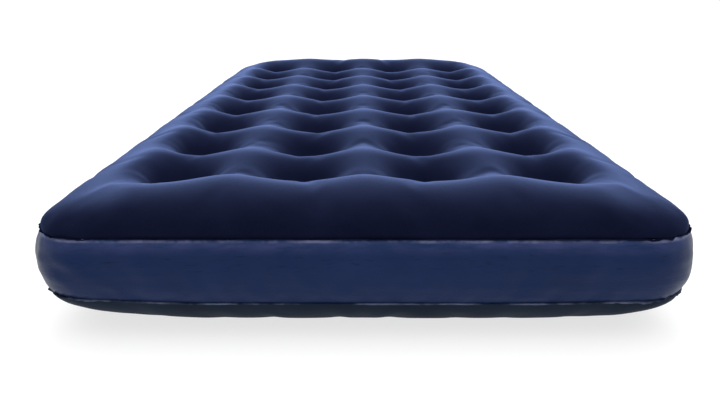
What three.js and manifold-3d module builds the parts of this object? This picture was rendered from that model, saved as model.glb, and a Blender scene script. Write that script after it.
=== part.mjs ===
// Single-width flocked air mattress with internal air coils and a two-stage screw valve.
//
// Millimetres, +Z up. The origin is the centre of the contact with the floor. The mattress is
// longest along Y: its foot end faces -Y and its head end, with the valve, faces +Y.
//
// The envelope is three sheets, a dimpled top sheet, a bulging side wall and a dimpled bottom sheet,
// welded along two outline seams. 32 upright coils, which are short open tubes, tie the top and bottom
// sheets together inside, and pull a dimple into each. The valve stands on the end wall, its axis along +Y.

import * as THREE from "three";
import Module from "manifold-3d";
import { mergeVertices } from "three/addons/utils/BufferGeometryUtils.js";

const wasm = await Module();
wasm.setup();

// ---------------------------------------------------------------- driving dimensions

const LENGTH = 1880; // over the bulging end walls
const WIDTH = 990; // over the bulging side walls
const HEIGHT = 220; // floor to the top of the crests
const SHEET = 1.2; // thickness of every sheet
const GAP = 0.3; // between pieces that touch or are welded

const ROWS = 8;
const COLUMNS = 4;
const ROW_PITCH = 206;
const COLUMN_PITCH = 210;

const TOP_SEAM_Z = 166;
const BOTTOM_SEAM_Z = 66;
const SEAM_INSET = 11; // from the widest line of the wall in to the seams
const CORNER_RADIUS = 78; // of the seam lines, in plan
const SHOULDER = 120; // how far in from a seam the sheet reaches its full height
const WELD_WIDTH = 9; // of the trimmed weld margin that stands out along a seam
const WELD_ROOT = 2; // how much of that lies inside the seam line
const WELD_THICKNESS = 2.4;
const LAP = { width: 24, thickness: 0.8 }; // the strip over the side wall's two ends

const DIMPLE_TOP_Z = 172; // level of the top weld of a coil
const DIMPLE_BOTTOM_Z = 44; // level of its bottom weld
const DIMPLE_HALF = 45; // half the side of the flat that a coil is welded to
const SADDLE = 0.68; // height between two neighbouring dimples, as a share of the crest's
const FOOT_HALF = 22; // half the side of the flat on a crest, where the bottom sheet stands

const COIL_RADIUS = 41;
const COIL_SIDES = 10;
const VENT = { width: 26, height: 16 }; // air hole through both sides of a coil

const VALVE_X = -285;
const VALVE_Z = (TOP_SEAM_Z + BOTTOM_SEAM_Z) / 2;
const VALVE_SIDES = 24; // of what is turned for the valve
const PIN_SIDES = 12; // of its pins, studs and their holes
const THREAD_PITCH = 4;
const THREAD_TURNS = 1.25;

const HALF_X = WIDTH / 2 - SEAM_INSET; // of the seam lines
const HALF_Y = LENGTH / 2 - SEAM_INSET;

// Outer profile of the side wall, as [height, how far it stands outside the seam line].
const WALL_TOP_Z = TOP_SEAM_Z - WELD_THICKNESS / 2 - GAP;
const WALL_BOTTOM_Z = BOTTOM_SEAM_Z + WELD_THICKNESS / 2 + GAP;
const FLAT_HALF = 30; // half the height of the wall's upright middle, where the valve is welded
const SLANT = { height: 9, depth: 3.5 }; // of the wall just above and below that
const WALL_PROFILE = [
  [WALL_TOP_Z, 0],
  [VALVE_Z + FLAT_HALF + SLANT.height, SEAM_INSET - SLANT.depth],
  [VALVE_Z + FLAT_HALF, SEAM_INSET],
  [VALVE_Z - FLAT_HALF, SEAM_INSET],
  [VALVE_Z - FLAT_HALF - SLANT.height, SEAM_INSET - SLANT.depth],
  [WALL_BOTTOM_Z, 0],
];

const COLOURS = {
  flock: { color: 0x2e3a6b, roughness: 0.95, metalness: 0 },
  vinyl: { color: 0x24345c, roughness: 0.4, metalness: 0 },
  coil: { color: 0x39476f, roughness: 0.5, metalness: 0 },
  valve: { color: 0x1d2436, roughness: 0.45, metalness: 0 },
  seal: { color: 0x9a9da3, roughness: 0.6, metalness: 0 },
};
const MATERIALS = Object.fromEntries(
  Object.entries(COLOURS).map(([name, look]) => [name, new THREE.MeshStandardMaterial(look)]),
);

// ---------------------------------------------------------------- helpers

const mattress = new THREE.Group();

function addTo(group, name, geometry, material) {
  const mesh = new THREE.Mesh(geometry, MATERIALS[material]);
  mesh.name = name;
  group.add(mesh);
  return mesh;
}

function geometryOf(vertices, triangles) {
  const geometry = new THREE.BufferGeometry();
  geometry.setAttribute("position", new THREE.Float32BufferAttribute(vertices.flat(), 3));
  geometry.setIndex(triangles.flat());
  geometry.computeVertexNormals();
  return geometry;
}

// A closed three.js geometry as a manifold-3d solid.
function solid(geometry) {
  const bare = geometry.index ? geometry.toNonIndexed() : geometry.clone();
  bare.deleteAttribute("normal");
  bare.deleteAttribute("uv");
  const merged = mergeVertices(bare, 1e-3);
  return new wasm.Manifold(
    new wasm.Mesh({
      numProp: 3,
      vertProperties: merged.attributes.position.array,
      triVerts: new Uint32Array(merged.index.array),
    }),
  );
}

function geometryFrom(made) {
  const mesh = made.getMesh();
  const vertices = [];
  for (let i = 0; i < mesh.numVert; i++) {
    const at = i * mesh.numProp;
    vertices.push([...mesh.vertProperties.subarray(at, at + 3)]);
  }
  return geometryOf(vertices, [[...mesh.triVerts]]);
}

const join = (first, ...others) =>
  geometryFrom(others.reduce((made, part) => made.add(solid(part)), solid(first)));

const cut = (first, ...others) =>
  geometryFrom(others.reduce((made, part) => made.subtract(solid(part)), solid(first)));

// A solid of revolution about Z from [radius, height] points that close on themselves or on the axis.
function turned(profile, sides = VALVE_SIDES) {
  const closed = profile[0][0] === 0 ? profile : [...profile, profile[0]];
  let area = 0;
  closed.forEach(([r, z], i) => {
    const [nextR, nextZ] = closed[(i + 1) % closed.length];
    area += r * nextZ - nextR * z;
  });
  const ordered = area > 0 ? closed : [...closed].reverse();
  const points = ordered.map(([r, z]) => new THREE.Vector2(r, z));
  return new THREE.LatheGeometry(points, sides).rotateX(Math.PI / 2);
}

const ring = (inner, outer, low, high, sides) =>
  turned([[inner, low], [outer, low], [outer, high], [inner, high]], sides);

// A round bar about Z.
const pin = (radius, low, high, sides = PIN_SIDES) =>
  turned([[0, low], [radius, low], [radius, high], [0, high]], sides);

const block = (x, y, z, at) => new THREE.BoxGeometry(x, y, z).translate(...at);

// A flat outline in the XY plane, raised from low to high.
function plate(shape, low, high, curveSegments = 12) {
  const geometry = new THREE.ExtrudeGeometry(shape, {
    depth: high - low,
    bevelEnabled: false,
    curveSegments,
  });
  return geometry.translate(0, 0, low);
}

// A strap of even thickness whose edge follows the points [x, z], centred on y = 0.
function strap(points, thickness, width) {
  const line = points.map(([x, z]) => new THREE.Vector2(x, z));
  const side = (sign) =>
    line.map((p, i) => {
      const before = line[Math.max(i - 1, 0)];
      const after = line[Math.min(i + 1, line.length - 1)];
      const along = after.clone().sub(before).normalize();
      return p.clone().add(new THREE.Vector2(-along.y, along.x).multiplyScalar((sign * thickness) / 2));
    });
  const shape = new THREE.Shape([...side(1), ...side(-1).reverse()]);
  return plate(shape, -width / 2, width / 2).rotateX(Math.PI / 2);
}

// A sector of a flat ring, between two angles in degrees.
function sector(inner, outer, from, to, low, high) {
  const [a, b] = [from, to].map(THREE.MathUtils.degToRad);
  const shape = new THREE.Shape();
  shape.absarc(0, 0, outer, a, b, false);
  shape.absarc(0, 0, inner, b, a, true);
  return plate(shape, low, high, 10);
}

// One screw-thread ridge: a right-hand helix whose ends taper to nothing. Its root is at rootRadius,
// a little inside the wall that it joins, and its tip at tipRadius. start is the height of its middle
// where the helix begins, at angle zero plus phase turns.
function threadRidge(rootRadius, tipRadius, start, phase = 0) {
  const stepsPerTurn = 16;
  const steps = Math.round(stepsPerTurn * THREAD_TURNS);
  const rootHalf = 0.7;
  const tipHalf = 0.3;
  const vertices = [];
  for (let i = 0; i <= steps; i++) {
    const turns = i / stepsPerTurn;
    const angle = (turns + phase) * 2 * Math.PI;
    const z = start + turns * THREAD_PITCH;
    const grown = Math.min(1, (i + 0.4) / 3, (steps - i + 0.4) / 3);
    const tip = rootRadius + (tipRadius - rootRadius) * grown;
    const corners = [
      [rootRadius, -rootHalf],
      [tip, -tipHalf],
      [tip, tipHalf],
      [rootRadius, rootHalf],
    ];
    corners.forEach(([r, dz]) => vertices.push([r * Math.cos(angle), r * Math.sin(angle), z + dz]));
  }
  const triangles = [];
  for (let i = 0; i < steps; i++) {
    for (let k = 0; k < 4; k++) {
      const a = i * 4 + k;
      const b = i * 4 + ((k + 1) % 4);
      triangles.push([a, b, a + 4], [b, b + 4, a + 4]);
    }
  }
  const last = steps * 4;
  triangles.push([0, 2, 1], [0, 3, 2], [last, last + 1, last + 2], [last, last + 2, last + 3]);
  const outward = tipRadius > rootRadius;
  return geometryOf(vertices, outward ? triangles.map(([a, b, c]) => [a, c, b]) : triangles);
}

// ---------------------------------------------------------------- plan of the mattress

// Steps across a corner, as shares of the corner radius. They close up towards the seam.
const CORNER_STEPS = [0.42, 0.8, 1];

// Positive grid lines along one side: the edges of each dimple's flat, the crest lines between dimples,
// a line at the start of the corner and lines across the corner. The middle crest line, at zero, is
// replaced by the edge of the foot where there is one.
function halfLines(count, pitch, half, foot) {
  const lines = [];
  for (let i = 0; i < count / 2; i++) {
    const crest = i * pitch;
    const centre = crest + pitch / 2;
    lines.push(i ? crest : foot, centre - DIMPLE_HALF, centre + DIMPLE_HALF);
  }
  const straight = half - CORNER_RADIUS;
  return [...lines, straight, ...CORNER_STEPS.map((share) => straight + share * CORNER_RADIUS)];
}

const mirrored = (lines) => [...lines.filter((v) => v > 0).map((v) => -v).reverse(), ...lines];

// Rounds a point of the square grid into the plan: each corner square maps onto a quarter disc.
function rounded(x, y) {
  const u = (Math.abs(x) - (HALF_X - CORNER_RADIUS)) / CORNER_RADIUS;
  const v = (Math.abs(y) - (HALF_Y - CORNER_RADIUS)) / CORNER_RADIUS;
  if (u <= 0 || v <= 0) return [x, y];
  const inX = HALF_X - CORNER_RADIUS + CORNER_RADIUS * u * Math.sqrt(1 - (v * v) / 2);
  const inY = HALF_Y - CORNER_RADIUS + CORNER_RADIUS * v * Math.sqrt(1 - (u * u) / 2);
  return [Math.sign(x) * inX, Math.sign(y) * inY];
}

// Distance from a point in from the seam line.
function distanceIn(x, y) {
  const qx = Math.abs(x) - (HALF_X - CORNER_RADIUS);
  const qy = Math.abs(y) - (HALF_Y - CORNER_RADIUS);
  const outside = Math.hypot(Math.max(qx, 0), Math.max(qy, 0));
  return CORNER_RADIUS - outside - Math.min(Math.max(qx, qy), 0);
}

// Offset from the centre of the nearest dimple, along one axis.
function fromDimple(along, count, pitch) {
  const last = (count - 1) / 2;
  const nearest = THREE.MathUtils.clamp(Math.round(along / pitch + last), 0, count - 1) - last;
  return along - nearest * pitch;
}

// 0 over the dimples along one axis, rising to 1 on the crest lines between them and outside the last.
function crestShare(along, count, pitch) {
  const beyond = Math.abs(fromDimple(along, count, pitch)) - DIMPLE_HALF;
  return THREE.MathUtils.clamp(beyond / (pitch / 2 - FOOT_HALF - DIMPLE_HALF), 0, 1);
}

// Height of a sheet above its dimples, as a share of the crest's: 0 in a dimple, 1 on a crest.
function crestLevel(x, y) {
  const across = crestShare(x, COLUMNS, COLUMN_PITCH);
  const along = crestShare(y, ROWS, ROW_PITCH);
  return across * along + SADDLE * (across * (1 - along) + along * (1 - across));
}

// How far a sheet has risen from its seam towards its full height, as a quarter ellipse.
function shoulder(x, y) {
  const left = THREE.MathUtils.clamp(1 - distanceIn(x, y) / SHOULDER, 0, 1);
  return Math.sqrt(1 - left * left);
}

const SHEET_TOP_Z = TOP_SEAM_Z + WELD_THICKNESS / 2 + GAP;
const SHEET_BOTTOM_Z = BOTTOM_SEAM_Z - WELD_THICKNESS / 2 - GAP;

function topHeight(gridX, gridY, x, y) {
  const inner = DIMPLE_TOP_Z + (HEIGHT - DIMPLE_TOP_Z) * crestLevel(gridX, gridY);
  return SHEET_TOP_Z + (inner - SHEET_TOP_Z) * shoulder(x, y);
}

function bottomHeight(gridX, gridY, x, y) {
  const inner = DIMPLE_BOTTOM_Z * (1 - crestLevel(gridX, gridY));
  return SHEET_BOTTOM_Z + (inner - SHEET_BOTTOM_Z) * shoulder(x, y);
}

// A sheet as a closed solid: its outer surface, the same surface moved inwards, and a rim round both.
function sheetSolid(height, foot, outwardZ) {
  const xs = mirrored(halfLines(COLUMNS, COLUMN_PITCH, HALF_X, foot));
  const ys = mirrored(halfLines(ROWS, ROW_PITCH, HALF_Y, foot));
  const outer = ys.flatMap((gridY) =>
    xs.map((gridX) => {
      const [x, y] = rounded(gridX, gridY);
      return [x, y, height(gridX, gridY, x, y)];
    }),
  );
  const at = (i, j) => j * xs.length + i;
  const faces = [];
  for (let j = 0; j + 1 < ys.length; j++) {
    for (let i = 0; i + 1 < xs.length; i++) {
      const corner = [at(i, j), at(i + 1, j), at(i + 1, j + 1), at(i, j + 1)];
      const right = fromDimple((xs[i] + xs[i + 1]) / 2, COLUMNS, COLUMN_PITCH) > 0;
      const ahead = fromDimple((ys[j] + ys[j + 1]) / 2, ROWS, ROW_PITCH) > 0;
      const [a, b, c, d] = right === ahead ? [...corner.slice(1), corner[0]] : corner;
      faces.push([a, b, c], [a, c, d]);
    }
  }
  const normals = geometryOf(outer, faces).getAttribute("normal");
  const inner = outer.map(([x, y, z], i) => {
    const n = new THREE.Vector3().fromBufferAttribute(normals, i).multiplyScalar(outwardZ);
    if (distanceIn(x, y) < 0.01) n.setZ(0).normalize();
    return [x - n.x * SHEET, y - n.y * SHEET, z - n.z * SHEET];
  });
  const count = outer.length;
  const rim = [
    ...xs.map((_, i) => at(i, 0)),
    ...ys.slice(1).map((_, j) => at(xs.length - 1, j + 1)),
    ...xs.slice(1).map((_, i) => at(xs.length - 2 - i, ys.length - 1)),
    ...ys.slice(1, -1).map((_, j) => at(0, ys.length - 2 - j)),
  ];
  const edge = rim.flatMap((a, k) => {
    const b = rim[(k + 1) % rim.length];
    return [[a, a + count, b], [b, a + count, b + count]];
  });
  const back = faces.map(([a, b, c]) => [a + count, c + count, b + count]);
  const triangles = [...faces, ...back, ...edge];
  const facing = outwardZ > 0 ? triangles : triangles.map(([a, b, c]) => [a, c, b]);
  return geometryOf([...outer, ...inner], facing);
}

// ---------------------------------------------------------------- side wall and welds

// Points round the seam line, counter-clockwise, each with its outward direction.
function outline() {
  const shares = [0, ...CORNER_STEPS];
  const lower = shares.map((v) => Math.asin(v / Math.SQRT2));
  const quarter = [...lower, ...lower.slice(0, -1).map((angle) => Math.PI / 2 - angle).reverse()];
  const corners = [[1, 1], [-1, 1], [-1, -1], [1, -1]];
  return corners.flatMap(([signX, signY], k) =>
    quarter.map((angle) => {
      const turn = angle + (k * Math.PI) / 2;
      const out = [Math.cos(turn), Math.sin(turn)];
      return {
        out,
        x: signX * (HALF_X - CORNER_RADIUS) + CORNER_RADIUS * out[0],
        y: signY * (HALF_Y - CORNER_RADIUS) + CORNER_RADIUS * out[1],
      };
    }),
  );
}

// A closed band round the outline whose cross-section is a loop of [height, distance outside the seam].
function band(section) {
  const points = outline();
  const size = section.length;
  const vertices = points.flatMap(({ x, y, out }) =>
    section.map(([z, off]) => [x + out[0] * off, y + out[1] * off, z]),
  );
  const triangles = points.flatMap((_, i) => {
    const next = (i + 1) % points.length;
    return section.flatMap((__, k) => {
      const [a, b] = [i * size + k, i * size + ((k + 1) % size)];
      const [c, d] = [next * size + k, next * size + ((k + 1) % size)];
      return [[a, b, c], [b, d, c]];
    });
  });
  return geometryOf(vertices, triangles);
}

function sideWall() {
  const inside = WALL_PROFILE.map(([z, off]) => [z, off - SHEET]).reverse();
  const wall = band([...WALL_PROFILE, ...inside]);
  const through = 2 * SEAM_INSET;
  const hole = pin(NECK.outer + 2 * GAP, -through, through, VALVE_SIDES);
  return cut(wall, hole.rotateX(-Math.PI / 2).translate(VALVE_X, LENGTH / 2, VALVE_Z));
}

// The trimmed margin where two sheets are welded face to face: it lies between their rims.
function weldMargin(seamZ) {
  const [low, high] = [seamZ - WELD_THICKNESS / 2, seamZ + WELD_THICKNESS / 2];
  const reach = WELD_WIDTH - WELD_ROOT;
  return band([[high, -WELD_ROOT], [high, reach], [low, reach], [low, -WELD_ROOT]]);
}

// The strip over the side wall's two ends, upright on the end wall.
function lapWeld() {
  const middle = LENGTH / 2 + GAP + LAP.thickness / 2;
  return block(LAP.width, LAP.thickness, 2 * (FLAT_HALF - 1), [-VALVE_X, middle, VALVE_Z]);
}

// ---------------------------------------------------------------- coils

function coil() {
  const low = DIMPLE_BOTTOM_Z + SHEET + GAP;
  const high = DIMPLE_TOP_Z - SHEET - GAP;
  const tube = ring(COIL_RADIUS - SHEET, COIL_RADIUS, low, high, COIL_SIDES);
  return cut(tube, block(3 * COIL_RADIUS, VENT.width, VENT.height, [0, 0, (low + high) / 2]));
}

// ---------------------------------------------------------------- valve, along its own +Z from the wall

const PATCH = { half: 26, radius: 28, thickness: 0.8 }; // two half discs, and what lies between them
const NECK = { inner: 18, outer: 20, low: -6, high: 11, threadStart: 4.6 }; // wide neck of the base
const FLANGE = { outer: 27, low: 1.4, high: 3.0 }; // of the base, on the patch
const INSERT = { inner: 21.9, outer: 24.6, low: 3.6, high: 14.4, plate: 1.6 };
const RECESS = { inner: 15.2, outer: 16.7, floor: 3.0, thick: 1.4 };
const PORT = { inner: 8, outer: 9.8, high: 10.6, threadStart: 4.9 }; // small neck that a pump fits
const CAP = { inner: 11.4, outer: 13.4, low: 5.0, high: 14.6, plate: 2 };
const COLLAR_GROOVE = { low: 4.6, high: 7.2, depth: 1 }; // round the insert
const CAP_GROOVE = { low: 10.6, high: 12.8, depth: 1 }; // round the cap
const THREAD_ROOT = 0.4; // how far inside its wall a thread starts
const SPOKE = { width: 1.5, thickness: 1.2, middle: 3.7 }; // of the cross in the port
const TAB = { length: 2.4, width: 7 }; // of the insert's collar
const STRAP = 1.1; // thickness of both straps
const STUD = { x: 42, plateX: 20.6, shank: 1.3, head: 3, hole: 1.6 };
const FLAP_HINGE = { y: -11.6, z: 0.7, pin: 0.6, bore: 1, knuckle: 1.7 };
const FLAP = { radius: 9.4, low: 1.5, high: 2.5 };
const LUG = { x: 5, width: 1.6, depth: 3.4, height: 4, middle: 1.2 }; // the pin's two holders
const GRIP = { length: 21, width: 3.4, height: 4.4 }; // the bar on the cap
const CAP_ARC = { inner: 18.2, outer: 23.2, from: -6, to: 180, stud: 168 }; // angles in degrees
const RISER = { half: 14, clear: 0.4 }; // of the cap's collar: half its angle, and its room either way
const BRIDGE = { length: 4.4, width: 5 }; // between that riser and the curved strap

// A stadium-shaped patch, with room beside the valve for the strap's stud.
function valvePatch() {
  const shape = new THREE.Shape();
  shape.absarc(PATCH.half, 0, PATCH.radius, -Math.PI / 2, Math.PI / 2, false);
  shape.absarc(-PATCH.half, 0, PATCH.radius, Math.PI / 2, (3 * Math.PI) / 2, false);
  const through = GAP + 2 * PATCH.thickness;
  const hole = pin(NECK.outer + 2 * GAP, -through, through, VALVE_SIDES);
  return cut(plate(shape, GAP, GAP + PATCH.thickness), hole);
}

function valveBase() {
  const profile = [
    [NECK.inner, NECK.low], [NECK.outer, NECK.low],
    [NECK.outer, FLANGE.low], [FLANGE.outer, FLANGE.low],
    [FLANGE.outer, FLANGE.high], [NECK.outer, FLANGE.high],
    [NECK.outer, NECK.high], [NECK.inner, NECK.high],
  ];
  const ridge = threadRidge(NECK.outer - THREAD_ROOT, NECK.outer + 1.1, NECK.threadStart);
  return join(turned(profile), ridge);
}

// Lays a piece that was made along Z on the flap's hinge line, which runs along X.
const onHinge = (geometry) =>
  geometry.rotateY(Math.PI / 2).translate(0, FLAP_HINGE.y, FLAP_HINGE.z);

function valveInsert() {
  const floorHigh = RECESS.floor + RECESS.thick;
  const profile = [
    [PORT.inner, RECESS.floor], [RECESS.outer, RECESS.floor],
    [RECESS.outer, INSERT.high - INSERT.plate], [INSERT.inner, INSERT.high - INSERT.plate],
    [INSERT.inner, INSERT.low], [INSERT.outer, INSERT.low],
    [INSERT.outer, COLLAR_GROOVE.low], [INSERT.outer - COLLAR_GROOVE.depth, COLLAR_GROOVE.low],
    [INSERT.outer - COLLAR_GROOVE.depth, COLLAR_GROOVE.high], [INSERT.outer, COLLAR_GROOVE.high],
    [INSERT.outer, INSERT.high], [RECESS.inner, INSERT.high],
    [RECESS.inner, floorHigh], [PORT.outer, floorHigh],
    [PORT.outer, PORT.high], [PORT.inner, PORT.high],
  ];
  const across = 2 * PORT.inner + 1;
  const spokes = [[across, SPOKE.width], [SPOKE.width, across]].map(([x, y]) =>
    block(x, y, SPOKE.thickness, [0, 0, SPOKE.middle]),
  );
  const lugs = [-LUG.x, LUG.x].map((x) =>
    block(LUG.width, LUG.depth, LUG.height, [x, FLAP_HINGE.y, LUG.middle]),
  );
  const ridges = [
    threadRidge(PORT.outer - THREAD_ROOT, PORT.outer + 0.9, PORT.threadStart),
    threadRidge(INSERT.inner + THREAD_ROOT, NECK.outer + 0.6, NECK.threadStart + THREAD_PITCH / 2),
  ];
  const drilled = onHinge(pin(FLAP_HINGE.pin + GAP, -PORT.inner, PORT.inner));
  return cut(join(turned(profile), ...spokes, ...lugs, ...ridges), drilled);
}

function insertCollar() {
  const [inner, outer] = [INSERT.outer - COLLAR_GROOVE.depth + GAP, INSERT.outer + 1.8];
  const [low, high] = [COLLAR_GROOVE.low + GAP, COLLAR_GROOVE.high - GAP];
  const tab = block(TAB.length, TAB.width, high - low, [outer + TAB.length / 4, 0, (low + high) / 2]);
  return join(ring(inner, outer, low, high), tab);
}

// The arched strap from the collar's tab to its stud on the patch.
function insertStrap() {
  const start = INSERT.outer + 3.6 + GAP;
  const arch = [
    [start, 5.9], [start + 1, 5.9], [start + 2.2, 7.6], [start + 4.2, 8.4], [start + 6.2, 7.6],
    [start + 7.6, 5], [start + 8.8, 2.4], [STUD.x + 4, 2.4],
  ];
  return cut(strap(arch, STRAP, TAB.width), pin(STUD.hole, 0, 5).translate(STUD.x, 0, 0));
}

// A mushroom stud: a shank that a strap is held on, and a wider head.
function stud(low) {
  const headLow = low + STRAP + 2 * GAP;
  const headHigh = headLow + 1;
  const profile = [
    [0, low], [STUD.shank, low], [STUD.shank, headLow],
    [STUD.head, headLow], [STUD.head, headHigh], [0, headHigh],
  ];
  return turned(profile, PIN_SIDES);
}

function checkFlap() {
  const half = LUG.x - LUG.width / 2 - 0.4; // the knuckle's, between the lugs
  const thick = FLAP.high - FLAP.low;
  const disc = pin(FLAP.radius, FLAP.low, FLAP.high, VALVE_SIDES);
  const tongue = block(2 * half, 4, thick, [0, FLAP_HINGE.y + 2.4, (FLAP.low + FLAP.high) / 2]);
  const knuckle = onHinge(pin(FLAP_HINGE.knuckle, -half, half));
  const bore = onHinge(pin(FLAP_HINGE.bore, -PORT.inner, PORT.inner));
  return cut(join(disc, tongue, knuckle), bore);
}

function flapPin() {
  const half = LUG.x + LUG.width / 2 + 0.4;
  return onHinge(pin(FLAP_HINGE.pin, -half, half));
}

function valveCap() {
  const profile = [
    [0, CAP.high - CAP.plate], [CAP.inner, CAP.high - CAP.plate],
    [CAP.inner, CAP.low], [CAP.outer, CAP.low],
    [CAP.outer, CAP_GROOVE.low], [CAP.outer - CAP_GROOVE.depth, CAP_GROOVE.low],
    [CAP.outer - CAP_GROOVE.depth, CAP_GROOVE.high], [CAP.outer, CAP_GROOVE.high],
    [CAP.outer, CAP.high], [0, CAP.high],
  ];
  const grip = block(GRIP.length, GRIP.width, GRIP.height, [0, 0, CAP.high + GRIP.height / 2 - 0.2]);
  const start = PORT.threadStart + THREAD_PITCH / 2;
  return join(turned(profile), grip, threadRidge(CAP.inner + THREAD_ROOT, PORT.outer + 0.5, start));
}

function capCollar() {
  const inner = CAP.outer - CAP_GROOVE.depth + GAP;
  const outer = RECESS.inner - RISER.clear;
  const [low, high] = [CAP_GROOVE.low + GAP, CAP_GROOVE.high - GAP];
  const top = INSERT.high + GAP + STRAP;
  const riser = sector(CAP.outer + RISER.clear, outer, -RISER.half, RISER.half, low + 0.2, top);
  return join(ring(inner, outer, low, high), riser);
}

// Where the cap strap's stud stands on the insert's rim, as [x, y].
function capStudPlace() {
  const turn = THREE.MathUtils.degToRad(CAP_ARC.stud);
  return [STUD.plateX * Math.cos(turn), STUD.plateX * Math.sin(turn)];
}

// The curved strap that lies on the insert's rim, from the collar's riser round to its stud.
function capStrap() {
  const [low, high] = [INSERT.high + GAP, INSERT.high + GAP + STRAP];
  const arc = sector(CAP_ARC.inner, CAP_ARC.outer, CAP_ARC.from, CAP_ARC.to, low, high);
  const middle = RECESS.inner + BRIDGE.length / 2 - 0.1;
  const bridge = block(BRIDGE.length, BRIDGE.width, STRAP, [middle, 0, (low + high) / 2]);
  return cut(join(arc, bridge), pin(STUD.hole, low - 2, high + 2).translate(...capStudPlace(), 0));
}

// ---------------------------------------------------------------- assembly

addTo(mattress, "top_sheet", sheetSolid(topHeight, 0, 1), "flock");
addTo(mattress, "bottom_sheet", sheetSolid(bottomHeight, FOOT_HALF, -1), "vinyl");
addTo(mattress, "side_wall", sideWall(), "vinyl");
addTo(mattress, "top_weld_margin", weldMargin(TOP_SEAM_Z), "vinyl");
addTo(mattress, "bottom_weld_margin", weldMargin(BOTTOM_SEAM_Z), "vinyl");
addTo(mattress, "side_wall_lap_weld", lapWeld(), "vinyl");

for (let row = 0; row < ROWS; row++) {
  for (let column = 0; column < COLUMNS; column++) {
    const mesh = addTo(mattress, `air_coil_r${row + 1}_c${column + 1}`, coil(), "coil");
    mesh.position.x = (column - (COLUMNS - 1) / 2) * COLUMN_PITCH;
    mesh.position.y = (row - (ROWS - 1) / 2) * ROW_PITCH;
  }
}

const valve = new THREE.Group();
valve.position.set(VALVE_X, LENGTH / 2, VALVE_Z);
valve.rotation.x = -Math.PI / 2;
mattress.add(valve);

addTo(valve, "valve_patch", valvePatch(), "vinyl");
addTo(valve, "valve_base", valveBase(), "valve");
addTo(valve, "base_gasket", ring(NECK.inner + 0.2, NECK.outer, NECK.high + GAP, NECK.high + 1.5), "seal");
addTo(valve, "valve_insert", valveInsert(), "valve");
addTo(valve, "insert_collar", insertCollar(), "valve");
addTo(valve, "insert_strap", insertStrap(), "valve");
const insertStud = addTo(valve, "insert_strap_stud", stud(GAP + PATCH.thickness + GAP), "valve");
insertStud.position.x = STUD.x;
addTo(valve, "check_flap", checkFlap(), "seal");
addTo(valve, "flap_hinge_pin", flapPin(), "valve");
addTo(valve, "valve_cap", valveCap(), "valve");
addTo(valve, "cap_seal", ring(5, PORT.outer + 0.2, PORT.high + GAP, CAP.high - CAP.plate - GAP), "seal");
addTo(valve, "cap_collar", capCollar(), "valve");
addTo(valve, "cap_strap", capStrap(), "valve");
const capStud = addTo(valve, "cap_strap_stud", stud(INSERT.high + GAP), "valve");
[capStud.position.x, capStud.position.y] = capStudPlace();

export default mattress;
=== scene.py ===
"""Flocked camping air mattress, inflated, for Blender 4.5.

The envelope is one mesh: a dimpled top, a bulging side wall and a dimpled underside. It is blown up by a
cloth simulation with the coils' weld discs held, and then split along its two seams into three sheets.
Weld margins, air coils and the screw valve are pieces of their own. All sizes are in metres.
"""

import math

import bmesh
import bpy
import numpy as np
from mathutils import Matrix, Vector, noise
from mathutils.bvhtree import BVHTree


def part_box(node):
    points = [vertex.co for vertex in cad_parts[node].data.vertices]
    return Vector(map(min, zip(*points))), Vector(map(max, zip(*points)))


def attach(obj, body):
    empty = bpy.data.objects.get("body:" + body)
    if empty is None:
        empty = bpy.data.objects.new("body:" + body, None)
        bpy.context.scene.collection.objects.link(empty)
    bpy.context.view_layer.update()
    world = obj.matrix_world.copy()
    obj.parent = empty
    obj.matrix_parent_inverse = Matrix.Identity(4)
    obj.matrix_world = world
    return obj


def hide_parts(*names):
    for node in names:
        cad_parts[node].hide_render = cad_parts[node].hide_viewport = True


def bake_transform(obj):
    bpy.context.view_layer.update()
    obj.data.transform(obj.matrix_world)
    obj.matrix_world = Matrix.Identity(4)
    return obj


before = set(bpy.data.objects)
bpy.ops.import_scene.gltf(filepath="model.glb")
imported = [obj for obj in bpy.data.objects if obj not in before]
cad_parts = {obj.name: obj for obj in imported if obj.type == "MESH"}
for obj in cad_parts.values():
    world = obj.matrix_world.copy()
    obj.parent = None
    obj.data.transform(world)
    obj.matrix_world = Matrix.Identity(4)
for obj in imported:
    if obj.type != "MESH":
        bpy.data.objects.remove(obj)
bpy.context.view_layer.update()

# ---------------------------------------------------------------- driving sizes

ROWS = 8
COLUMNS = 4
CORNER_RADIUS = 0.078  # of the seam lines, in plan
VINYL = 0.0006  # thickness of the sheets

# A dimple is a wide bowl with a narrower, steeper pit in it, each as (depth, spread).
TOP_SHOULDER = 0.120  # how far in from its seam the top reaches its full height
TOP_FULLNESS = 2.4  # of its shoulder: 2 is an ellipse, and more is squarer
TOP_LEVEL = 0.2302  # height of the top without its dimples
TOP_BOWL = (0.049, 0.072)
TOP_PIT = (0.028, 0.046)
TOP_CORNER_DROP = 0.009  # how much lower the roll is at the four corners
ROLL_HEIGHT = 0.007  # how much higher than the crests the roll round the edge stands
ROLL_MIDDLE = 0.105  # its distance in from the seam
ROLL_SPREAD = 0.050
BOTTOM_SHOULDER = 0.165
BOTTOM_LEVEL = -0.014  # the part below the floor is pressed flat
BOTTOM_BOWL = (0.048, 0.060)
BOTTOM_PIT = (0.014, 0.055)
MERGING = 2.2  # how sharply neighbouring dimples meet
PIT_SHARPNESS = 1.5  # 1 is a bell, and more is steeper
SIDE_FADE = (0.060, 0.150)  # distances from the side seams between which the bowls take their shape
SIDE_DEPTH = 0.022  # of the even side rolls, where the bowls have faded out
CORNER_LIFT = (0.022, 0.013)  # how far the underside curls up at the left and the right corners
CORNER_REACH = 0.26  # how far along each side that is felt
WALL_SWELL = 1.08  # how much further the wall bulges than the plain CAD wall
WALL_FULLNESS = 2.2  # of its bulge: 2 is a parabola, and more is squarer
SEAM_STRETCH = (0.004, 0)  # how far the air pushes the seams out

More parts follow.
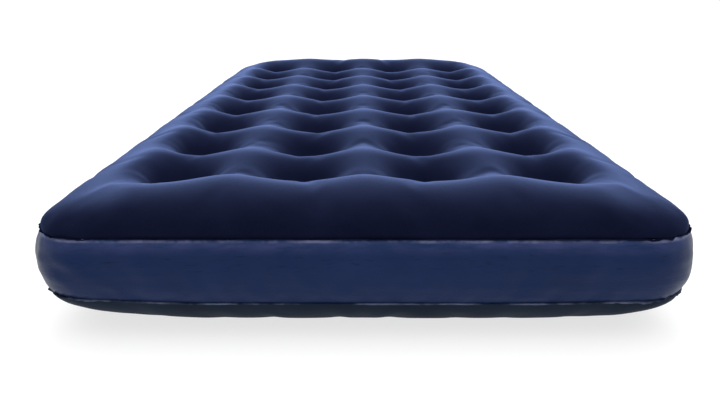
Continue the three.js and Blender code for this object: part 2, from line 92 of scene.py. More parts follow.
CELLS_PER_PITCH = 18
DISC_CELLS = 4
DISC_RADIUS = 0.034
DISC_EDGE = 1.08  # where a sheet has its own height again, in disc radii
RING_SPACING = 1.04  # of the grid's rings just outside a disc, in cells
INNER_MARGIN = 0.083  # from the seams in to where the square grid of the sheets ends
SHOULDER_RINGS = 9
WALL_ROWS = 10

MOST_SWELLING = 0.003  # how far the simulation may move a point
SIMULATED_FRAMES = 20

# Puckers. A depth is (along the straight sides, what the corners add), and a size is along X, Y and Z.
PUCKER_CORNER = (2.2, 1.6)  # where a corner's share begins and how soon it is whole, in corner radii
TOP_PUCKER_DEPTH, TOP_PUCKER_REACH, TOP_PUCKER_SIZE = (0.0006, 0.0022), 0.028, (0.028, 0.028, 0.2)
BOTTOM_PUCKER_DEPTH, BOTTOM_PUCKER_REACH, BOTTOM_PUCKER_SIZE = (0.0006, 0.0018), 0.030, (0.03, 0.03, 0.2)
WALL_PUCKER_DEPTH, WALL_PUCKER_SIZE = (0.0007, 0.0016), (0.017, 0.017, 0.2)
WALL_PUCKER_REACH = (0.016, 0.013)  # from the top seam and from the bottom one
LOWER_PUCKERS = 0.7  # depth of the wall's lower puckers beside its upper ones
SWELL_DEPTH, SWELL_SIZE = 0.0011, (0.11, 0.11, 0.11)  # slow unevenness of the top
FAN_DEPTH, FAN_OUT, FAN_SPREAD = 0.0013, 0.024, 0.020  # creases that run out from just outside a disc
GROOVE_DEPTH, GROOVE_OUT, GROOVE_SPREAD = 0.0012, 0.002, 0.0035  # pressed line round a disc
LONG_CREASE_DEPTH, LONG_CREASE_SIZE = 0.0007, (0.16, 0.16, 0.014)
SLANTED_CREASE_DEPTH, SLANTED_CREASE_SIZE = 0.0014, (0.03, 0.03, 0.09)
CREASE_SLANT = 0.8

MARGIN_REACH = 0.0022  # how far a weld margin stands out from its seam
MARGIN_ROOT = 0.0012  # how far it goes in under the sheets
MARGIN_HALF = 0.0006  # half of its thickness
MARGIN_THINNING = 0.7  # of its edge
BOTTOM_MARGIN_DROOP = 0.0016

COIL_SIDES = 64
COIL_WALL = 0.0008
COIL_WAIST = 0.0035
COIL_FLANGE = 0.007
COIL_CLEARANCE = 0.0028  # between its flanges and the sheets' faces
VENT_STEPS = 4  # half of a vent's width, in sides of the coil
VENT_HALF_HEIGHT = 0.009

LAP_INSET = 0.004  # between the ends of the lap weld and the two seams
LAP_RAISED = 0.0009
LAP_RIPPLE = 0.0002
LAP_GAP = 0.0001  # between its underside and the wall

# The valve, in millimetres. Heights are out from the wall, along the valve's axis.
MM = 0.001
THREAD_PITCH = 4
THREAD_TURNS = 1.25
THREAD_HALF = (0.75, 0.30)  # half of a thread's width at its root and at its tip
THREAD_FADE = 14  # steps over which each of its ends grows
FILLET = 0.45
MOST_CUT = 0.42  # the most of an edge that a fillet takes
NECK_INNER, NECK_OUTER, NECK_HIGH = 18, 20, 11
PATCH_HALF, PATCH_RADIUS = 26, 28
PATCH_FADE = 19  # how far beyond the patch the wall has its own shape again
PATCH_CLEARANCE = 0.6  # round the neck
WALL_CLEARANCE = 0.3
INSERT_INNER, INSERT_OUTER, INSERT_HIGH = 21.9, 24.6, 14.4
PORT_INNER, PORT_OUTER, PORT_HIGH = 8, 9.8, 10.6
CAP_INNER, CAP_OUTER, CAP_HIGH = 11.4, 13.4, 14.6
STRAP = 1.1  # thickness of both straps
INSERT_STRAP_WIDTH, CAP_STRAP_WIDTH = 7, 5
STRAP_GAP = 0.3  # between the insert's rim and the cap's strap
CAP_STRAP_RADIUS = 20.7
CAP_STRAP_ANGLES = (-9, 178)  # degrees
BRIDGE_THINNING = 0.24  # keeps the bridge's faces off the strap's
STUD_X = 42
CAP_STUD_RADIUS, CAP_STUD_ANGLE = 20.6, math.radians(168)
FLAP_HINGE = (0, -11.6, 0.7)
SIDES = 96  # of everything that is turned
CRISP_ANGLE = math.radians(42)  # edges that turn more than this are shaded as sharp
BESIDE_AXIS = 20  # outlines that aren't turned are rounded this far off, since filleted keeps points at 0

CAMERA_PLACE = (-0.0050, -1.816, 0.511)
CAMERA_TILT, CAMERA_TURN = 18.36, 0.1  # degrees down from level, and to the left
CAMERA_LENS = 33.5
LAMP_PLACE, LAMP_TARGET = (0, 0.9, 3.2), (0, 0.3, 0)
LAMP_SIZE, LAMP_POWER = (3.0, 2.0), 60
FLOOR_SIZE = 80
FLOOR_Z = -0.0005  # just below the underside, so that the two share no plane
SKY = ((0.0, 0.42), (0.20, 0.40), (0.38, 0.03), (1.0, 1.0))  # (sine of the elevation, brightness)
SKY_STRENGTH = 2.4


def coil_name(row, column):
    return f"air_coil_r{row + 1}_c{column + 1}"


def middle(node):
    low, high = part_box(node)
    return (low + high) / 2


TOP_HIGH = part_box("top_sheet")[1]
WALL_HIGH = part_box("side_wall")[1]
SEAM = np.array([TOP_HIGH.x, TOP_HIGH.y]) + SEAM_STRETCH  # half sizes of the seam lines
TOP_SEAM_Z = middle("top_weld_margin").z
BOTTOM_SEAM_Z = middle("bottom_weld_margin").z
WALL_BULGE = (WALL_HIGH.x - TOP_HIGH.x) * WALL_SWELL
COILS = np.array(
    [middle(coil_name(row, column))[:2] for row in range(ROWS) for column in range(COLUMNS)]
)
PITCH = np.array([COILS[1, 0] - COILS[0, 0], COILS[COLUMNS, 1] - COILS[0, 1]])
VALVE_X, _, VALVE_Z = middle("valve_base")
WALL_FACE_Y = WALL_HIGH.y


# ---------------------------------------------------------------- plan of a sheet


def distance_in(points):
    """Distance of each point (x, y) in from the rounded seam line."""
    q = np.abs(points[:, :2]) - (SEAM - CORNER_RADIUS)
    outside = np.hypot(np.maximum(q[:, 0], 0), np.maximum(q[:, 1], 0))
    return CORNER_RADIUS - outside - np.minimum(q.max(axis=1), 0)


def seam_point(x, y, half):
    """The point of the seam line that the point (x, y), on the edge of the inner grid, is joined to."""
    signs = np.array([math.copysign(1, x), math.copysign(1, y)])
    on_side = abs(abs(x) - half[0]) < 1e-6
    axis, share = (1, abs(y) / half[1]) if on_side else (0, abs(x) / half[0])
    straight = SEAM[axis] - CORNER_RADIUS
    travel = share * (straight + CORNER_RADIUS * math.pi / 4)
    turn = max(travel - straight, 0) / CORNER_RADIUS
    along = min(travel, straight) + CORNER_RADIUS * math.sin(turn)
    across = SEAM[1 - axis] - CORNER_RADIUS + CORNER_RADIUS * math.cos(turn)
    return signs * ((across, along) if on_side else (along, across))


def inner_grid():
    """Points of the square grid, drawn into circles round each coil, and the cell counts either way."""
    cell = PITCH / CELLS_PER_PITCH
    cells = np.floor((SEAM - INNER_MARGIN) / cell).astype(int)
    index = np.stack(np.meshgrid(np.arange(-cells[0], cells[0] + 1), np.arange(-cells[1], cells[1] + 1)), -1)
    index = index.reshape(-1, 2)
    points = index * cell
    fade = DISC_CELLS / 2
    for coil in COILS:
        offset = index - np.rint(coil / cell)
        steps = np.abs(offset).max(axis=1)
        near = (steps > 0) & (steps < DISC_CELLS + fade + 1)
        away = offset[near] * cell
        length = np.linalg.norm(away, axis=1, keepdims=True)
        ring = np.minimum(steps[near], DISC_CELLS) * DISC_RADIUS / DISC_CELLS
        ring = ring + np.maximum(steps[near] - DISC_CELLS, 0) * cell.mean() * RING_SPACING
        share = np.clip((DISC_CELLS + fade + 1 - steps[near]) / (fade + 1), 0, 1)[:, None]
        points[near] = coil + away * (1 - share) + away / length * ring[:, None] * share
    return points, cells


def band(first, second):
    """The faces between two closed loops of vertices, given by their numbers."""
    return np.stack([first, second, np.roll(second, -1), np.roll(first, -1)], -1)


def sheet_plan():
    """One sheet in plan: its points, its faces counter-clockwise from above, and its seam's loop."""
    points, cells = inner_grid()
    wide, long = 2 * cells + 1
    at = np.arange(wide * long).reshape(long, wide)
    faces = np.stack([at[:-1, :-1], at[:-1, 1:], at[1:, 1:], at[1:, :-1]], -1).reshape(-1, 4)
    loop = np.concatenate([at[0, :-1], at[:-1, -1], at[-1, :0:-1], at[:0:-1, 0]])
    half = cells * PITCH / CELLS_PER_PITCH
    inner = points[loop]
    outer = np.array([seam_point(x, y, half) for x, y in inner])
    margin = (SEAM - half).mean()
    widest = math.acos(1 - margin / TOP_SHOULDER)
    parts, blocks = [points], [faces]
    last = loop
    for ring in range(1, SHOULDER_RINGS + 1):
        left = widest * (1 - ring / SHOULDER_RINGS)
        share = 1 - TOP_SHOULDER * (1 - math.cos(left)) / margin
        parts.append(inner + (outer - inner) * share)
        this = np.arange(len(loop)) + sum(len(part) for part in parts[:-1])
        blocks.append(band(last, this))
        last = this
    return np.concatenate(parts), np.concatenate(blocks), last


# ---------------------------------------------------------------- heights


def smooth_step(value, low, high):
    """0 up to the value low and 1 from the value high on, with a smooth rise between them."""
    share = np.clip((value - low) / (high - low), 0, 1)
    return share * share * (3 - 2 * share)


def dimples(points, bowl, pit):
    """Depth of the dimples at each point. Neighbouring bowls meet in a rounded crest."""
    bowls = np.zeros(len(points))
    pits = np.zeros(len(points))
    for coil in COILS:
        away = ((points - coil) ** 2).sum(axis=1)
        bowls += np.exp(-MERGING * away / (2 * bowl[1] ** 2))
        pits += np.exp(-((away / pit[1] ** 2) ** PIT_SHARPNESS))
    shaped = smooth_step(SEAM[0] - np.abs(points[:, 0]), *SIDE_FADE)
    depth = bowl[0] * bowls ** (1 / MERGING) * shaped + SIDE_DEPTH * (1 - shaped)
    return depth + pit[0] * pits


def disc_depth(bowl, pit):
    """Depth of a weld disc: that of its dimple's own bowl and pit at the disc's edge."""
    far = DISC_RADIUS**2
    in_bowl = bowl[0] * math.exp(-far / (2 * bowl[1] ** 2))
    in_pit = pit[0] * math.exp(-((far / pit[1] ** 2) ** PIT_SHARPNESS))
    return in_bowl + in_pit


def shoulder(points, width, fullness=2):
    """How far a sheet has risen from its seam, from 0 to 1, as a quarter of a superellipse."""
    left = np.clip(1 - distance_in(points) / width, 0, 1)
    return (1 - left**fullness) ** (1 / fullness)


def disc_share(points):
    """1 on the weld disc of a coil, falling to 0 just outside it."""
    nearest = np.min([np.hypot(*(points - coil).T) for coil in COILS], axis=0)
    return np.clip((DISC_RADIUS * DISC_EDGE - nearest) / (DISC_RADIUS * (DISC_EDGE - 1)), 0, 1)


def top_heights(points):
    roll = ROLL_HEIGHT * np.exp(-(((distance_in(points) - ROLL_MIDDLE) / ROLL_SPREAD) ** 2))
    level = TOP_LEVEL + roll - dimples(points, TOP_BOWL, TOP_PIT)
    disc = TOP_LEVEL - disc_depth(TOP_BOWL, TOP_PIT)
    share = disc_share(points)
    level = level * (1 - share) + disc * share
    return TOP_SEAM_Z + (level - TOP_SEAM_Z) * shoulder(points, TOP_SHOULDER, TOP_FULLNESS)


def bottom_heights(points):
    level = BOTTOM_LEVEL + dimples(points, BOTTOM_BOWL, BOTTOM_PIT)
    disc = BOTTOM_LEVEL + disc_depth(BOTTOM_BOWL, BOTTOM_PIT)
    share = disc_share(points)
    level = np.maximum(level * (1 - share) + disc * share, 0)
    return BOTTOM_SEAM_Z + (level - BOTTOM_SEAM_Z) * shoulder(points, BOTTOM_SHOULDER)


def corner_lift(points):
    """How far the corners curl: the underside rises from the floor, and the top roll sinks."""
    inset = SEAM - np.abs(points[:, :2])
    near = smooth_step(-inset, -CORNER_REACH, 0).prod(axis=1)
    low = np.clip(1 - points[:, 2] / TOP_SEAM_Z, 0, 1)
    high = np.clip((points[:, 2] - TOP_SEAM_Z) / (TOP_LEVEL - TOP_SEAM_Z), 0, 1)
    lift = np.where(points[:, 0] < 0, *CORNER_LIFT)
    return near * (lift * low**2 - TOP_CORNER_DROP * high)


# ---------------------------------------------------------------- meshes and the simulation


def mesh_object(name, vertices, faces, smooth=True):
    mesh = bpy.data.meshes.new(name)
    mesh.from_pydata([tuple(map(float, v)) for v in vertices], [], [tuple(map(int, f)) for f in faces])
    mesh.polygons.foreach_set("use_smooth", [smooth] * len(mesh.polygons))
    piece = bpy.data.objects.new(name, mesh)
    bpy.context.scene.collection.objects.link(piece)
    return piece


def positions(piece):
    evaluated = piece.evaluated_get(bpy.context.evaluated_depsgraph_get())
    flat = np.empty(len(evaluated.data.vertices) * 3, np.float32)
    evaluated.data.vertices.foreach_get("co", flat)
    return flat.reshape(-1, 3).astype(float)


def blown_up(vertices, faces, held):
    """The vertices after air pressure has swelled the envelope, with the held vertices kept in place."""
    balloon = mesh_object("balloon", vertices, faces)
    group = balloon.vertex_groups.new(name="held")
    group.add([int(i) for i in held], 1.0, "REPLACE")
    cloth = balloon.modifiers.new("cloth", "CLOTH")
    settings = cloth.settings
    settings.quality = 6
    settings.mass = 0.2
    settings.tension_stiffness = 30
    settings.compression_stiffness = 12
    settings.shear_stiffness = 12
    settings.bending_stiffness = 1.5
    settings.shrink_min = -0.012
    settings.use_pressure = True
    settings.uniform_pressure_force = 4
    settings.vertex_group_mass = "held"
    settings.effector_weights.gravity = 0
    cloth.point_cache.frame_end = SIMULATED_FRAMES
    scene = bpy.context.scene
    for number in range(1, SIMULATED_FRAMES + 1):
        scene.frame_set(number)
    swollen = positions(balloon)
    bpy.data.objects.remove(balloon)
    scene.frame_set(1)
    move = swollen - vertices
    length = np.linalg.norm(move, axis=1, keepdims=True)
    most = MOST_SWELLING * np.tanh(length / MOST_SWELLING)
    return vertices + move * most / np.maximum(length, 1e-9)


def envelope():
    """The three sheets as (vertices, faces), and the two seam loops as points."""
    plan, faces, loop = sheet_plan()
    count, ring = len(plan), len(loop)
    top = np.column_stack([plan, top_heights(plan)])
    bottom = np.column_stack([plan, bottom_heights(plan)])
    seam = plan[loop]
    out = np.roll(seam, -1, axis=0) - np.roll(seam, 1, axis=0)
    out = np.column_stack([out[:, 1], -out[:, 0]]) / np.linalg.norm(out, axis=1, keepdims=True)
    rows = []
    for row in range(1, WALL_ROWS):
        share = row / WALL_ROWS
        bulge = WALL_BULGE * (1 - abs(2 * share - 1) ** WALL_FULLNESS)
        height = TOP_SEAM_Z + (BOTTOM_SEAM_Z - TOP_SEAM_Z) * share
        rows.append(np.column_stack([seam + out * bulge, np.full(ring, height)]))
    vertices = np.concatenate([top, *rows, bottom])
    vertices[:, 2] += corner_lift(vertices)
    below = count + (WALL_ROWS - 1) * ring
    loops = [loop, *(count + row * ring + np.arange(ring) for row in range(WALL_ROWS - 1)), below + loop]
    wall = np.concatenate([band(upper, lower) for upper, lower in zip(loops, loops[1:])])
    under = below + faces[:, ::-1]
    welded = disc_share(plan) > 0.9
    welded[loop] = True
    held = np.flatnonzero(np.concatenate([welded, np.zeros(below - count, bool), welded]))
    vertices = blown_up(vertices, np.concatenate([faces, wall, under]), held)
    vertices[:, 2] = np.maximum(vertices[:, 2], 0)
    sheets = {"top": faces, "wall": wall, "bottom": under}
    split = {name: extracted(vertices, quads) for name, quads in sheets.items()}
    return split, vertices[loop], vertices[below + loop]


def extracted(vertices, faces):
    """The faces with only the vertices that they use."""
    used, renumbered = np.unique(faces, return_inverse=True)
    return vertices[used], renumbered.reshape(faces.shape)


def refined(vertices, faces, levels):
    """The mesh after smooth subdivision."""
    coarse = mesh_object("coarse", vertices, faces)
    subdivision = coarse.modifiers.new("subdivision", "SUBSURF")
    subdivision.levels = levels
    evaluated = coarse.evaluated_get(bpy.context.evaluated_depsgraph_get())
    fine = positions(coarse)
    corners = np.empty(len(evaluated.data.loops), np.int32)
    evaluated.data.loops.foreach_get("vertex_index", corners)
    bpy.data.objects.remove(coarse)
    return fine, corners.reshape(-1, 4)


def waves(points, sizes, seed):
    """Smooth noise from about -1 to 1 at each point, with features of the given size along X, Y and Z."""
    scaled = points / np.array(sizes) + seed
    return np.array([noise.noise(Vector(p)) for p in scaled]) * 1.6


def corner_share(points):
    """1 at the mattress's four corners, falling to 0 along its straight sides."""
    start, whole = np.multiply(PUCKER_CORNER, CORNER_RADIUS)
    beyond = np.minimum(*(np.abs(points[:, :2]) - (SEAM - start)).T)
    return smooth_step(beyond, 0, whole)


def from_seam(points, height):
    """Distance of each point from the seam line at that height."""
    return np.hypot(distance_in(points), points[:, 2] - height)


def outward(points):
    """Unit vectors away from the middle of a wall point, in plan."""
    q = np.abs(points[:, :2]) - (SEAM - CORNER_RADIUS)
    away = np.maximum(q, 0)
    away[q.max(axis=1) <= 0] = (1, 0)
    away = away / np.linalg.norm(away, axis=1, keepdims=True)
    return np.column_stack([away * np.sign(points[:, :2]), np.zeros(len(points))])


def deepened(depth, points):
    """The depth of a pucker at each point, from its (along the straight sides, what the corners add)."""
    return depth[0] + depth[1] * corner_share(points)


def puckered_top(points):
    """Small puckers along the seam and creases that run out from the weld discs."""
    near = np.exp(-from_seam(points, TOP_SEAM_Z) / TOP_PUCKER_REACH)
    lift = near * deepened(TOP_PUCKER_DEPTH, points) * waves(points, TOP_PUCKER_SIZE, 3)
    nearest = np.argmin([np.hypot(*(points[:, :2] - coil).T) for coil in COILS], axis=0)
    away = points[:, :2] - COILS[nearest]
    radius = np.hypot(*away.T)
    direction = away / np.maximum(radius, 1e-6)[:, None]
    fan = waves(np.column_stack([direction, nearest * 0.7]), (0.34, 0.34, 1), 11)
    rim = np.exp(-(((radius - DISC_RADIUS - FAN_OUT) / FAN_SPREAD) ** 2))
    lift += FAN_DEPTH * rim * fan
    groove = np.exp(-(((radius - DISC_RADIUS - GROOVE_OUT) / GROOVE_SPREAD) ** 2))
    lift -= GROOVE_DEPTH * groove
    moved = points.copy()
    moved[:, 2] += lift + SWELL_DEPTH * waves(points, SWELL_SIZE, 5) * (distance_in(points) > 0)
    return moved


def puckered_wall(points):
    """Upright puckers below the top seam and above the bottom one, and long creases between them."""
    edge = np.exp(-from_seam(points, TOP_SEAM_Z) / WALL_PUCKER_REACH[0])
    edge += LOWER_PUCKERS * np.exp(-from_seam(points, BOTTOM_SEAM_Z) / WALL_PUCKER_REACH[1])
    pucker = edge * deepened(WALL_PUCKER_DEPTH, points) * waves(points, WALL_PUCKER_SIZE, 17)
    long_crease = LONG_CREASE_DEPTH * waves(points, LONG_CREASE_SIZE, 23)
    slant = points + points[:, 2:] * (CREASE_SLANT, CREASE_SLANT, 0)
    slanted = SLANTED_CREASE_DEPTH * corner_share(points) * waves(slant, SLANTED_CREASE_SIZE, 29)
    risen = (points[:, 2] - BOTTOM_SEAM_Z) / (TOP_SEAM_Z - BOTTOM_SEAM_Z)
    inside = np.sin(np.clip(risen, 0, 1) * math.pi)
    moved = points.copy()
    moved += outward(points) * (pucker * np.sqrt(inside) + (long_crease + slanted) * inside)[:, None]
    return moved


def puckered_bottom(points):
    """Small puckers along the seam, with nothing pushed below the floor."""
    near = np.exp(-from_seam(points, BOTTOM_SEAM_Z) / BOTTOM_PUCKER_REACH)
    moved = points.copy()
    moved[:, 2] += near * deepened(BOTTOM_PUCKER_DEPTH, points) * waves(points, BOTTOM_PUCKER_SIZE, 31)
    moved[:, 2] = np.maximum(moved[:, 2], 0)
    return moved


def seam_margin(name, loop, node, droop, material):
    """The trimmed, slightly ragged edge of a weld, which stands out round a seam and droops."""
    finer = 4
    steps = np.arange(len(loop) * finer) / finer
    wrapped = np.vstack([loop, loop[:1]])
    numbers = np.arange(len(wrapped))
    track = np.column_stack([np.interp(steps, numbers, wrapped[:, axis]) for axis in range(3)])
    along = np.roll(track, -finer, axis=0) - np.roll(track, finer, axis=0)
    out = np.column_stack([along[:, 1], -along[:, 0], np.zeros(len(track))])
    out /= np.linalg.norm(out, axis=1, keepdims=True)
    corner = corner_share(track)[:, None]
    ragged = waves(track, (0.007, 0.007, 1), 41)[:, None]
    slow = waves(track, (0.05, 0.05, 1), 43)[:, None]
    ruffle = waves(track, (0.011, 0.011, 1), 47)[:, None]
    reach = MARGIN_REACH + 0.0005 * ragged + 0.0006 * slow + corner * (0.0004 + 0.0018 * ragged)
    up = np.array([0, 0, 1])
    lift = up * (0.0003 * slow + (0.0002 + 0.0022 * corner) * ruffle - droop)
    half = up * MARGIN_HALF
    thin = half * MARGIN_THINNING
    root = track - out * MARGIN_ROOT
    edge = track + out * reach + lift
    sections = np.stack([root + half, root - half, edge - thin, edge + thin], axis=1)
    piece = mesh_object(name, *looped(sections, True))
    piece.data.materials.append(material)
    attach(piece, "mattress")
    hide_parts(node)


def sheet_object(name, vertices, faces, node, material, shaping, levels):
    """One sheet of the envelope, refined and puckered, standing for a CAD node."""
    fine, quads = refined(vertices, faces, levels)
    shaped = shaping(fine)
    if node == "side_wall":
        shaped, quads = seated_valve(shaped, quads)
    piece = mesh_object(name, shaped, quads)
    piece.data.materials.append(material)
    thickness = piece.modifiers.new("thickness", "SOLIDIFY")
    thickness.thickness = VINYL
    thickness.offset = -1
    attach(piece, "mattress")
    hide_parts(node)
    return piece


# ---------------------------------------------------------------- closed shells for the hard pieces


def valve_place(point):
    """A point of the valve, in millimetres with z along its axis from the wall, in the frame."""
    x, y, z = point
    return (VALVE_X + x * MM, WALL_FACE_Y + z * MM, VALVE_Z - y * MM)


def filleted(profile, radius, steps=3):
    """The closed outline with its corners rounded, as far as its edges allow. Points on the axis stay."""
    points = [np.array(point, float) for point in profile]
    result = []
    for before, here, after in zip(points[-1:] + points[:-1], points, points[1:] + points[:1]):
        back, ahead = before - here, after - here
        cut = min(radius, MOST_CUT * np.linalg.norm(back), MOST_CUT * np.linalg.norm(ahead))
        if here[0] == 0:
            result.append(here)
            continue
        start = here + back / np.linalg.norm(back) * cut
        end = here + ahead / np.linalg.norm(ahead) * cut
        for share in np.linspace(0, 1, steps + 1):
            result.append((1 - share) ** 2 * start + 2 * share * (1 - share) * here + share**2 * end)
    return result


def looped(sections, closed_path):
    """Vertices and faces of a body swept through equal sections, which are loops of points."""
    count, size = len(sections), len(sections[0])
    at = np.arange(count * size).reshape(count, size)
    following = np.roll(at, -1, axis=0)
    if not closed_path:
        at, following = at[:-1], following[:-1]
    corners = [at, np.roll(at, -1, 1), np.roll(following, -1, 1), following]
    faces = np.stack(corners, -1).reshape(-1, 4).tolist()
    if not closed_path:
        faces += [list(range(size)), list(range((count - 1) * size, count * size))]
    return [tuple(point) for section in sections for point in section], faces


def turned(profile, ripple=None, start=0.0, end=360.0):
    """A closed (radius, height) outline turned about the axis, all round or between two angles in degrees."""
    whole = end - start == 360
    angles = np.radians(start + (end - start) * np.arange(SIDES + (not whole)) / SIDES)
    sections = []
    for angle in angles:
        section = []
        for radius, height in profile:
            wide = radius + (ripple(angle, radius, height) if ripple else 0)
            section.append((wide * math.cos(angle), wide * math.sin(angle), height))
        sections.append(section)
    return looped(sections, whole)


def thread(root, tip, start):
    """A helical ridge that grows out of the root radius and dies away at both ends."""
    steps = round(SIDES * THREAD_TURNS)
    sections = []
    for step in range(steps + 1):
        angle = 2 * math.pi * step / SIDES
        middle_height = start + THREAD_PITCH * step / SIDES
        from_end = min(1, step / THREAD_FADE, (steps - step) / THREAD_FADE)
        crest = root + (tip - root) * max(math.sin(math.pi / 2 * from_end), 0.05)
        wide, narrow = THREAD_HALF
        corners = [(root, -wide), (crest, -narrow), (crest, narrow), (root, wide)]
        section = [(r * math.cos(angle), r * math.sin(angle), middle_height + dz) for r, dz in corners]
        sections.append(section)
    return looped(sections, False)


def rounded_bar(size, centre, radius=0.5, along=0):
    """A bar with rounded edges, lying along X (0), Y (1) or Z (2)."""
    half = np.roll(np.array(size) / 2, -along)
    ends = [(1, 1), (-1, 1), (-1, -1), (1, -1)]
    section = filleted([(BESIDE_AXIS + a * half[1], b * half[2]) for a, b in ends], radius)
    section = np.array(section) - (BESIDE_AXIS, 0)
    sections = []
    for place, share in ((-1, 0.0), (-1, 1.0), (1, 1.0), (1, 0.0)):
        shrink = 1 - min(radius / min(half[1:]), 0.45) * (1 - share)
        length = place * (half[0] - radius * 0.5 * share)
        points = np.column_stack([np.full(len(section), length), section * shrink])
        sections.append(np.roll(points, along, axis=1) + centre)
    return looped(sections, False)


def smooth_path(points, count):
    """Points evenly along a smooth curve through the given ones."""
    points = np.array(points, float)
    padded = np.vstack([2 * points[0] - points[1], points, 2 * points[-1] - points[-2]])
    dense = []
    for a, b, c, d in zip(padded, padded[1:], padded[2:], padded[3:]):
        squared = 2 * a - 5 * b + 4 * c - d
        cubed = 3 * (b - c) + d - a
        for t in np.arange(0, 1, 0.05):
            dense.append((2 * b + (c - a) * t + squared * t**2 + cubed * t**3) / 2)
    dense = np.array(dense + [points[-1]])
    travel = np.concatenate([[0], np.cumsum(np.linalg.norm(np.diff(dense, axis=0), axis=1))])
    even = np.linspace(0, travel[-1], count)
    return np.column_stack([np.interp(even, travel, dense[:, axis]) for axis in range(3)])


def ribbon(path, across, width, thickness):
    """A flat strap with round ends along a path. across gives its width's direction at each point."""
    travel = np.concatenate([[0], np.cumsum(np.linalg.norm(np.diff(path, axis=0), axis=1))])
    sections = []
    for here, side, ahead, done in zip(path, across, np.gradient(path, axis=0), travel):
        up = np.cross(ahead / np.linalg.norm(ahead), side)
        from_end = min(done, travel[-1] - done, width / 2)
        half = max(math.sqrt(width * from_end - from_end**2), 0.08 * width)
        left, right, thin = BESIDE_AXIS - half, BESIDE_AXIS + half, thickness / 2
        corners = filleted([(right, -thin), (right, thin), (left, thin), (left, -thin)], 0.35)
        sections.append([here + side * (a - BESIDE_AXIS) + up * b for a, b in corners])
    return looped(sections, False)


def shell_piece(name, shells, node, material, place=valve_place):
    """One object made of closed shells, standing for a CAD node. place puts their points in the frame."""
    joined = bmesh.new()
    for vertices, faces in shells:
        shell = bmesh.new()
        made = [shell.verts.new(place(vertex)) for vertex in vertices]
        for face in faces:
            shell.faces.new([made[corner] for corner in face])
        bmesh.ops.remove_doubles(shell, verts=shell.verts, dist=1e-6)
        bmesh.ops.dissolve_degenerate(shell, edges=shell.edges, dist=1e-6)
        bmesh.ops.recalc_face_normals(shell, faces=shell.faces)
        for edge in shell.edges:
            edge.smooth = edge.calc_face_angle(0) < CRISP_ANGLE
        part = bpy.data.meshes.new("part")
        shell.to_mesh(part)
        joined.from_mesh(part)
        bpy.data.meshes.remove(part)
        shell.free()
    mesh = bpy.data.meshes.new(name)
    joined.to_mesh(mesh)
    joined.free()
    mesh.polygons.foreach_set("use_smooth", [True] * len(mesh.polygons))
    mesh.materials.append(material)
    piece = bpy.data.objects.new(name, mesh)
    bpy.context.scene.collection.objects.link(piece)
    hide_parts(node)
    return piece


def crisp_piece(name, shells, node, material, body):
    """A shell piece that rides on a body, its flat faces flat between their rounded edges."""
    piece = shell_piece(name, shells, node, material)
    piece.modifiers.new("flat faces", "WEIGHTED_NORMAL").keep_sharp = True
    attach(piece, body)


# ---------------------------------------------------------------- valve pieces


def patch_reach(angle):
    """Distance from the valve's axis to the edge of the stadium-shaped patch."""
    c, s = abs(math.cos(angle)), abs(math.sin(angle))
    if PATCH_RADIUS * c <= PATCH_HALF * s:
        return PATCH_RADIUS / s
    return PATCH_HALF * c + math.sqrt(PATCH_RADIUS**2 - (PATCH_HALF * s) ** 2)


def valve_patch(material):
    """The welded patch: a thin plate with a pressed weld line inside its edge."""
    hole = NECK_OUTER + PATCH_CLEARANCE
    across = [  # (share of the way out to the edge, height)
        (0, 0.3), (1, 0.3), (1, 0.75), (0.985, 0.95), (0.94, 1.1), (0.86, 1.1),
        (0.83, 0.8), (0.77, 0.8), (0.74, 1.1), (0.3, 1.1), (0, 1.1),
    ]
    sections = []
    for angle in np.linspace(0, 2 * math.pi, 2 * SIDES, endpoint=False):
        reach = patch_reach(angle) - hole
        rings = [(hole + share * reach, height) for share, height in across]
        sections.append([(r * math.cos(angle), r * math.sin(angle), height) for r, height in rings])
    crisp_piece("valve_patch_plate", [looped(sections, True)], "valve_patch", material, "mattress")


def valve_base(material):
    """The neck, with its flange on the patch and its outside thread."""
    profile = [
        (NECK_INNER, -6), (NECK_OUTER, -6), (NECK_OUTER, 1.4), (27, 1.4), (27, 2.4), (25.6, 3.0),
        (23, 3.0), (22.4, 2.6), (21.6, 2.6), (21, 3.0), (NECK_OUTER, 3.0),
        (NECK_OUTER, NECK_HIGH), (NECK_INNER, NECK_HIGH),
    ]
    shells = [turned(filleted(profile, FILLET)), thread(NECK_OUTER - 0.2, NECK_OUTER + 1.1, 4.6)]
    crisp_piece("valve_base_neck", shells, "valve_base", material, "mattress")


def base_gasket(material):
    profile = filleted([(18.2, 11.3), (20, 11.3), (20, 12.5), (18.2, 12.5)], 0.5, 4)
    crisp_piece("base_gasket_ring", [turned(profile)], "base_gasket", material, "mattress")


def grip_ribs(count, depth, low, high):
    """A ripple for a turned piece: rounded upright ribs on its outside, between two heights."""

    def ripple(angle, radius, height):
        level = np.clip(min(height - low, high - height) / 0.8, 0, 1)
        return depth * level * max(math.cos(count * angle), -0.2)

    return ripple


